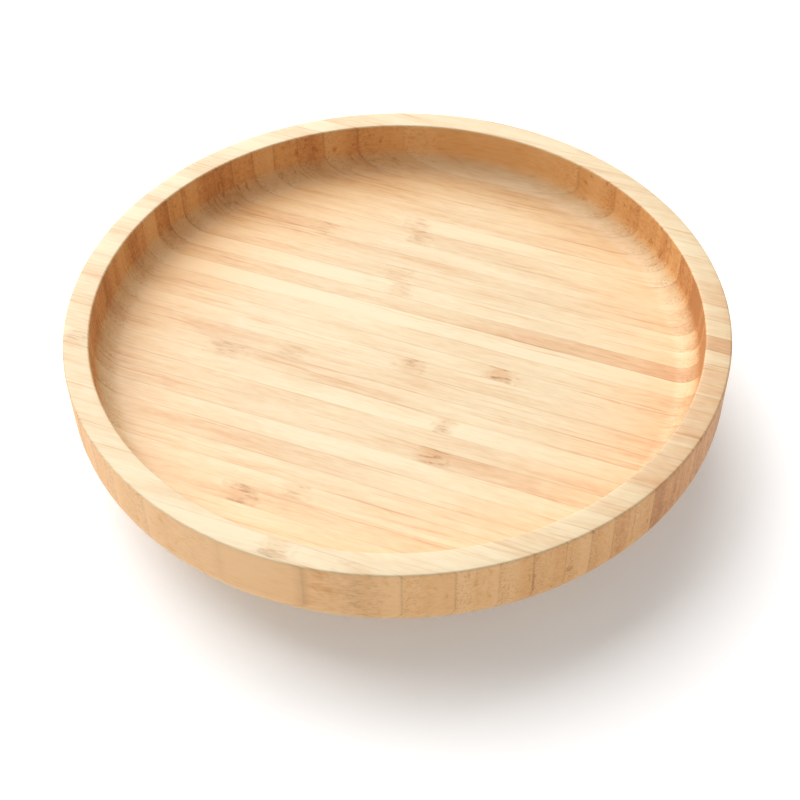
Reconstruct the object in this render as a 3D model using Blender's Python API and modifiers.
"""Round bamboo turntable: a shallow tray on a four-inch swivel bearing, screwed to a footed base disc.

Metres, +Z up. The origin is on the spin axis, at the height of the table that the feet stand on.
"""

import math

import bpy
from mathutils import Matrix

# Tray
TRAY_RADIUS = 0.125
TRAY_HEIGHT = 0.0315
RECESS_RADIUS = 0.11535
RECESS_DEPTH = 0.0207
RECESS_FILLET = 0.0095
UNDER_ROUND = 0.012
RIM_EASE = 0.001

# Base disc and feet
BASE_RADIUS = 0.085
BASE_THICKNESS = 0.009
BASE_ROUND = 0.0025
FOOT_RADIUS = 0.007
FOOT_HEIGHT = 0.003
FOOT_ROUND = 0.0006
FOOT_CIRCLE = 0.070

# Swivel bearing
BEARING_HEIGHT = 0.008
PLATE_SIDE = 0.100
PLATE_CORNER = 0.006
PLATE_SHEET = 0.0012
GROOVE_CIRCLE = 0.033
BALL_RADIUS = 0.00238
BALL_COUNT = 20
CAGE_HALF_WIDTH = 0.0037
CAGE_THICKNESS = 0.0016
POCKET_RADIUS = 0.0028

# The pressed sheet's middle surface: distances from the groove's centre line, and heights above the
# plate's back
GROOVE_FLAT = 0.0010
GROOVE_HALF = 0.0038
SHOULDER_END = 0.0080
FLANGE_START = 0.0105
FLANGE_LEVEL = PLATE_SHEET / 2
GROOVE_LEVEL = 0.0009
SHOULDER_LEVEL = 0.0020
LIP_START = 0.0045
LIP_END = 0.0072
LIP_LEVEL = 0.0027
COLLAR_RADIUS = 0.0246
COLLAR_BEND = 0.0010
CURL_BEND = 0.0008
CURL_REACH = 0.0024
CURL_LEVEL = BEARING_HEIGHT - 0.0010

# Screws
SCREW_SPACING = 0.084
SCREW_RADIUS = 0.0017
SCREW_LENGTH = 0.009
SCREW_TIP = 0.0025
HEAD_RADIUS = 0.0033
HEAD_HEIGHT = 0.0020
RECESS_ARM = 0.0040
RECESS_SLOT = 0.0009
RECESS_BITE = 0.0012
PLATE_HOLE_RADIUS = 0.0022
PILOT_RADIUS = 0.0020
ACCESS_RADIUS = 0.010

# Clearance between neighbouring pieces
GAP = 0.0003

# Levels, from the table up
BASE_BOTTOM = FOOT_HEIGHT + GAP
BASE_TOP = BASE_BOTTOM + BASE_THICKNESS
BEARING_BOTTOM = BASE_TOP + GAP
BEARING_TOP = BEARING_BOTTOM + BEARING_HEIGHT
BEARING_MIDDLE = (BEARING_BOTTOM + BEARING_TOP) / 2
TRAY_BOTTOM = BEARING_TOP + GAP
TRAY_TOP = TRAY_BOTTOM + TRAY_HEIGHT
TRAY_FLOOR = TRAY_TOP - RECESS_DEPTH
SCREW_CIRCLE = SCREW_SPACING / math.sqrt(2)
PILOT_SPARE = 0.0004
PILOT_DEPTH = SCREW_LENGTH - PLATE_SHEET - GAP + PILOT_SPARE

# How finely the round pieces are cut
TRAY_STEPS = 96
BASE_STEPS = 72
PLATE_STEPS = 48
CAGE_STEPS = 40
FOOT_STEPS = 16
SCREW_STEPS = 12
HOLE_SIDES = 10
ACCESS_SIDES = 20
BALL_SEGMENTS = 10
BALL_RINGS = 6
SMOOTH_BELOW = math.radians(35)


def empty_scene():
    """Leave nothing in the scene, and start the two collections."""
    for old in list(bpy.data.objects):
        bpy.data.objects.remove(old, do_unlink=True)
    for name in ("turntable", "cutters"):
        collection = bpy.data.collections.new(name)
        bpy.context.scene.collection.children.link(collection)


def finish(name, colour, roughness, metallic=0.0):
    """A plain Principled finish."""
    material = bpy.data.materials.new(name)
    material.use_nodes = True
    shader = material.node_tree.nodes["Principled BSDF"]
    shader.inputs["Base Color"].default_value = (*colour, 1.0)
    shader.inputs["Roughness"].default_value = roughness
    shader.inputs["Metallic"].default_value = metallic
    return material


def axis_empty(name, height, parent=None):
    """An empty on the spin axis, which a body's pieces hang on."""
    empty = bpy.data.objects.new(name, None)
    empty.empty_display_size = 0.02
    empty.parent = parent
    empty.location.z = height - (parent.location.z if parent else 0.0)
    bpy.data.collections["turntable"].objects.link(empty)
    return empty


def add_piece(name, mesh, material, parent):
    """A named sub-part in the part's own collection, under its body's empty."""
    piece = bpy.data.objects.new(name, mesh)
    if not mesh.materials:
        mesh.materials.append(material)
    piece.parent = parent
    bpy.data.collections["turntable"].objects.link(piece)
    return piece


def height_in(parent, height):
    """A height above the table, counted from the parent empty."""
    return height - parent.matrix_world.translation.z


def arc(centre_r, centre_z, radius, start, end, segments):
    """(radius, height) points on a profile's arc, with the angles in degrees from +R towards +Z."""
    angles = [math.radians(start + (end - start) * i / segments) for i in range(segments + 1)]
    return [(centre_r + radius * math.cos(a), centre_z + radius * math.sin(a)) for a in angles]


def profile_mesh(name, points, closed=False):
    """A profile of (radius, height) points in the XZ plane, as a mesh of edges."""
    mesh = bpy.data.meshes.new(name)
    edges = [(i, i + 1) for i in range(len(points) - 1)]
    if closed:
        edges.append((len(points) - 1, 0))
    mesh.from_pydata([(r, 0.0, z) for r, z in points], edges, [])
    return mesh


def turn(piece, steps):
    """Turn a profile about Z into a solid."""
    screw = piece.modifiers.new("turn", "SCREW")
    screw.axis = "Z"
    screw.steps = steps
    screw.render_steps = steps
    screw.use_merge_vertices = True
    screw.merge_threshold = 0.00001
    screw.use_smooth_shade = True


def bake(piece, name):
    """The piece's mesh with its modifiers applied, for copies to share."""
    graph = bpy.context.evaluated_depsgraph_get()
    mesh = bpy.data.meshes.new_from_object(piece.evaluated_get(graph))
    mesh.name = name
    mesh.shade_smooth()
    mesh.set_sharp_from_angle(angle=SMOOTH_BELOW)
    return mesh


def add_cutter(name, parent=None):
    """The active object as a cutter: a wire in the viewport, and never rendered."""
    cutter = bpy.context.object
    cutter.name = name
    cutter.hide_render = True
    cutter.display_type = "WIRE"
    for collection in list(cutter.users_collection):
        collection.objects.unlink(cutter)
    bpy.data.collections["cutters"].objects.link(cutter)
    cutter.parent = parent
    return cutter


def hole_cutter(name, radius, depth, place, sides, parent=None):
    """A round cutter along Z, centred at place."""
    bpy.ops.mesh.primitive_cylinder_add(vertices=sides, radius=radius, depth=depth, location=place)
    return add_cutter(name, parent)


def cut(piece, cutter):
    """Cut one solid out of a piece."""
    boolean = piece.modifiers.new(cutter.name, "BOOLEAN")
    boolean.operation = "DIFFERENCE"
    boolean.solver = "EXACT"
    boolean.object = cutter


def around(count, radius, first=0.0):
    """(x, y, angle) of equally spaced places on a circle."""
    angles = [first + 2 * math.pi * i / count for i in range(count)]
    return [(radius * math.cos(a), radius * math.sin(a), a) for a in angles]


def make_tray(parent):
    """The tray: floor, fillet, inner wall, eased rim, outer wall and round-over, turned from one outline."""
    floor, top, bottom = (height_in(parent, z) for z in (TRAY_FLOOR, TRAY_TOP, TRAY_BOTTOM))
    outline = [(0.0, floor)]
    outline += arc(RECESS_RADIUS - RECESS_FILLET, floor + RECESS_FILLET, RECESS_FILLET, -90, 0, 4)
    outline += arc(RECESS_RADIUS + RIM_EASE, top - RIM_EASE, RIM_EASE, 180, 90, 1)
    outline += arc(TRAY_RADIUS - RIM_EASE, top - RIM_EASE, RIM_EASE, 90, 0, 1)
    outline += arc(TRAY_RADIUS - UNDER_ROUND, bottom + UNDER_ROUND, UNDER_ROUND, 0, -90, 5)
    outline.append((0.0, bottom))
    bamboo = finish("tray bamboo", (0.79, 0.57, 0.32), 0.45)
    tray = add_piece("tray", profile_mesh("tray", outline), bamboo, parent)
    turn(tray, TRAY_STEPS)
    for i, (x, y, _) in enumerate(around(4, SCREW_CIRCLE), 1):
        place = (x, y, bottom)
        cut(tray, hole_cutter(f"tray_pilot_{i}", PILOT_RADIUS, 2 * PILOT_DEPTH, place, HOLE_SIDES, parent))


def make_base_disc(parent):
    """The base disc, with blind pilot holes for the plate's screws and one hole for a driver."""
    outline = [(0.0, BASE_TOP)]
    outline += arc(BASE_RADIUS - BASE_ROUND, BASE_TOP - BASE_ROUND, BASE_ROUND, 90, 0, 3)
    outline += arc(BASE_RADIUS - BASE_ROUND, BASE_BOTTOM + BASE_ROUND, BASE_ROUND, 0, -90, 3)
    outline.append((0.0, BASE_BOTTOM))
    bamboo = finish("base bamboo", (0.70, 0.49, 0.27), 0.5)
    base = add_piece("base_disc", profile_mesh("base_disc", outline), bamboo, parent)
    turn(base, BASE_STEPS)
    for i, (x, y, _) in enumerate(around(4, SCREW_CIRCLE, math.pi / 4), 1):
        cut(base, hole_cutter(f"base_pilot_{i}", PILOT_RADIUS, 2 * PILOT_DEPTH, (x, y, BASE_TOP), HOLE_SIDES))
    middle = (0.0, SCREW_CIRCLE, (BASE_TOP + BASE_BOTTOM) / 2)
    cut(base, hole_cutter("access_hole", ACCESS_RADIUS, 2 * BASE_THICKNESS, middle, ACCESS_SIDES))


def square_reach(angle):
    """How far a square with rounded corners reaches from its centre at an angle from +X."""
    half = PLATE_SIDE / 2
    folded = abs((angle + math.pi / 4) % (math.pi / 2) - math.pi / 4)
    if half * math.tan(folded) <= half - PLATE_CORNER:
        return half / math.cos(folded)
    to_corner = math.sqrt(2) * (half - PLATE_CORNER)
    aside = to_corner * math.sin(math.pi / 4 - folded)
    return to_corner * math.cos(math.pi / 4 - folded) + math.sqrt(PLATE_CORNER**2 - aside**2)


def plate_mesh(name, turned):
    """A loft: the middle surface of a pressed sheet, square at its edge and round from there inwards."""
    edge_z = turned[0][1]
    rings = []
    for i in range(PLATE_STEPS):
        angle = 2 * math.pi * i / PLATE_STEPS
        column = [(square_reach(angle), edge_z)] + turned
        rings.append([(r * math.cos(angle), r * math.sin(angle), z) for r, z in column])
    rows = len(turned) + 1
    points = [point for column in rings for point in column]
    faces = []
    for i in range(PLATE_STEPS):
        following = (i + 1) % PLATE_STEPS
        for j in range(rows - 1):
            a, b = i * rows + j, following * rows + j
            faces.append((a, b, b + 1, a + 1))
    mesh = bpy.data.meshes.new(name)
    mesh.from_pydata(points, [], faces)
    return mesh


def press_sheet(plate):
    """Give the pressed plate its sheet thickness, half to each side."""
    sheet = plate.modifiers.new("sheet", "SOLIDIFY")
    sheet.thickness = PLATE_SHEET
    sheet.offset = 0.0
    sheet.use_even_offset = True


def groove_profile():
    """The pressed rings that both plates share: outer shoulder, ball groove and inner shoulder."""
    return [
        (GROOVE_CIRCLE + FLANGE_START, FLANGE_LEVEL),
        (GROOVE_CIRCLE + SHOULDER_END, SHOULDER_LEVEL),
        (GROOVE_CIRCLE + GROOVE_HALF, SHOULDER_LEVEL),
        (GROOVE_CIRCLE + GROOVE_FLAT, GROOVE_LEVEL),
        (GROOVE_CIRCLE - GROOVE_FLAT, GROOVE_LEVEL),
        (GROOVE_CIRCLE - GROOVE_HALF, SHOULDER_LEVEL),
    ]


def make_lower_plate(parent):
    """The lower swivel plate. Its centre collar stands up through the upper plate and is curled over it."""
    centre = [
        (COLLAR_RADIUS + COLLAR_BEND, SHOULDER_LEVEL),
        (COLLAR_RADIUS, SHOULDER_LEVEL + COLLAR_BEND),
        (COLLAR_RADIUS, CURL_LEVEL - CURL_BEND),
        (COLLAR_RADIUS + CURL_BEND, CURL_LEVEL),
        (COLLAR_RADIUS + CURL_REACH, CURL_LEVEL),
    ]
    steel = finish("zinc plated steel", (0.62, 0.62, 0.60), 0.35, 1.0)
    mesh = plate_mesh("lower_plate", groove_profile() + centre)
    plate = add_piece("bearing_lower_plate", mesh, steel, parent)
    plate.location.z = height_in(parent, BEARING_BOTTOM)
    press_sheet(plate)
    for i, (x, y, _) in enumerate(around(4, SCREW_CIRCLE, math.pi / 4), 1):
        place = (x, y, BEARING_BOTTOM + PLATE_SHEET / 2)
        hole = hole_cutter(f"lower_plate_hole_{i}", PLATE_HOLE_RADIUS, 4 * PLATE_SHEET, place, HOLE_SIDES)
        cut(plate, hole)


def make_upper_plate(parent):
    """The upper swivel plate, upside down and an eighth of a turn round. Its lip runs under the curl."""
    lip = [(GROOVE_CIRCLE - LIP_START, LIP_LEVEL), (GROOVE_CIRCLE - LIP_END, LIP_LEVEL)]
    steel = finish("zinc plated steel, upper", (0.62, 0.62, 0.60), 0.35, 1.0)
    mesh = plate_mesh("upper_plate", groove_profile() + lip)
    plate = add_piece("bearing_upper_plate", mesh, steel, parent)
    plate.location.z = height_in(parent, BEARING_TOP)
    plate.rotation_euler = (math.pi, 0.0, math.pi / 4)
    press_sheet(plate)
    for i, (x, y, _) in enumerate(around(4, SCREW_CIRCLE), 1):
        place = (x, y, height_in(parent, BEARING_TOP - PLATE_SHEET / 2))
        name = f"upper_plate_hole_{i}"
        cut(plate, hole_cutter(name, PLATE_HOLE_RADIUS, 4 * PLATE_SHEET, place, HOLE_SIDES, parent))


def make_cage(parent):
    """The ball cage: a flat moulded ring with a round pocket for each ball."""
    half = CAGE_THICKNESS / 2
    inner, outer = GROOVE_CIRCLE - CAGE_HALF_WIDTH, GROOVE_CIRCLE + CAGE_HALF_WIDTH
    outline = [(outer, half), (outer, -half), (inner, -half), (inner, half)]
    nylon = finish("natural nylon", (0.78, 0.76, 0.68), 0.5)
    cage = add_piece("ball_cage", profile_mesh("ball_cage", outline, closed=True), nylon, parent)
    cage.rotation_euler.z = math.pi / CAGE_STEPS
    turn(cage, CAGE_STEPS)
    for i, (x, y, _) in enumerate(around(BALL_COUNT, GROOVE_CIRCLE), 1):
        name = f"pocket_{i:02d}"
        cut(cage, hole_cutter(name, POCKET_RADIUS, 4 * CAGE_THICKNESS, (x, y, 0.0), HOLE_SIDES, parent))


def make_balls(parent):
    """The steel balls, each with its origin at its centre and its poles on the axis it rolls about."""
    bpy.ops.mesh.primitive_uv_sphere_add(segments=BALL_SEGMENTS, ring_count=BALL_RINGS, radius=BALL_RADIUS)
    pattern = bpy.context.object
    ball_mesh = pattern.data
    bpy.data.objects.remove(pattern)
    ball_mesh.name = "ball"
    ball_mesh.transform(Matrix.Rotation(math.pi / 2, 4, "Y"))
    ball_mesh.shade_smooth()
    steel = finish("bright bearing steel", (0.72, 0.72, 0.74), 0.12, 1.0)
    for i, (x, y, angle) in enumerate(around(BALL_COUNT, GROOVE_CIRCLE), 1):
        ball = add_piece(f"ball_{i:02d}", ball_mesh, steel, parent)
        ball.location = (x, y, 0.0)
        ball.rotation_euler.z = angle


def screw_mesh():
    """A pan-head wood screw standing on its tip: the origin is under the head, which has a cross recess."""
    head = [(0.0, 1.0), (0.55, 0.95), (0.9, 0.62), (1.0, 0.2), (0.97, 0.0)]
    body = [(HEAD_RADIUS * r, HEAD_HEIGHT * z) for r, z in head]
    body += [(SCREW_RADIUS, 0.0), (SCREW_RADIUS, SCREW_TIP - SCREW_LENGTH), (0.0, -SCREW_LENGTH)]
    screw = bpy.data.objects.new("screw pattern", profile_mesh("screw pattern", body))
    bpy.context.scene.collection.objects.link(screw)
    turn(screw, SCREW_STEPS)
    for name, arms in (("recess_x", (RECESS_ARM, RECESS_SLOT)), ("recess_y", (RECESS_SLOT, RECESS_ARM))):
        bpy.ops.mesh.primitive_cube_add(size=1.0, location=(0.0, 0.0, HEAD_HEIGHT))
        bpy.context.object.data.transform(Matrix.Diagonal((*arms, 2 * RECESS_BITE, 1.0)))
        cut(screw, add_cutter(name))
    mesh = bake(screw, "screw")
    bpy.data.objects.remove(screw)
    return mesh


def make_screws(base, tray):
    """Four screws down through the lower plate into the base, and four up into the tray."""
    mesh = screw_mesh()
    zinc = finish("bright zinc screw", (0.66, 0.66, 0.64), 0.3, 1.0)
    for i, (x, y, angle) in enumerate(around(4, SCREW_CIRCLE, math.pi / 4), 1):
        screw = add_piece(f"lower_screw_{i}", mesh, zinc, base)
        screw.location = (x, y, height_in(base, BEARING_BOTTOM + PLATE_SHEET + GAP))
        screw.rotation_euler.z = angle
    for i, (x, y, angle) in enumerate(around(4, SCREW_CIRCLE), 1):
        screw = add_piece(f"upper_screw_{i}", mesh, zinc, tray)
        screw.location = (x, y, height_in(tray, BEARING_TOP - PLATE_SHEET - GAP))
        screw.rotation_euler = (math.pi, 0.0, angle)


def make_feet(parent):
    """Four glued rubber pads under the base disc."""
    outline = [(0.0, FOOT_HEIGHT)]
    outline += [(FOOT_RADIUS - FOOT_ROUND, FOOT_HEIGHT), (FOOT_RADIUS, FOOT_HEIGHT - FOOT_ROUND)]
    outline += [(FOOT_RADIUS, FOOT_ROUND), (FOOT_RADIUS - FOOT_ROUND, 0.0), (0.0, 0.0)]
    rubber = finish("grey rubber", (0.09, 0.09, 0.09), 0.7)
    foot_mesh = profile_mesh("foot", outline)
    for i, (x, y, _) in enumerate(around(4, FOOT_CIRCLE, math.pi / 4), 1):
        foot = add_piece(f"foot_{i}", foot_mesh, rubber, parent)
        foot.location = (x, y, 0.0)
        turn(foot, FOOT_STEPS)


def main():
    empty_scene()
    base = axis_empty("base_axis", 0.0)
    tray = axis_empty("tray_axis", TRAY_BOTTOM, base)
    cage = axis_empty("cage_axis", BEARING_MIDDLE, base)
    bpy.context.view_layer.update()
    make_tray(tray)
    make_base_disc(base)
    make_lower_plate(base)
    make_upper_plate(tray)
    make_cage(cage)
    make_balls(cage)
    make_screws(base, tray)
    make_feet(base)


main()
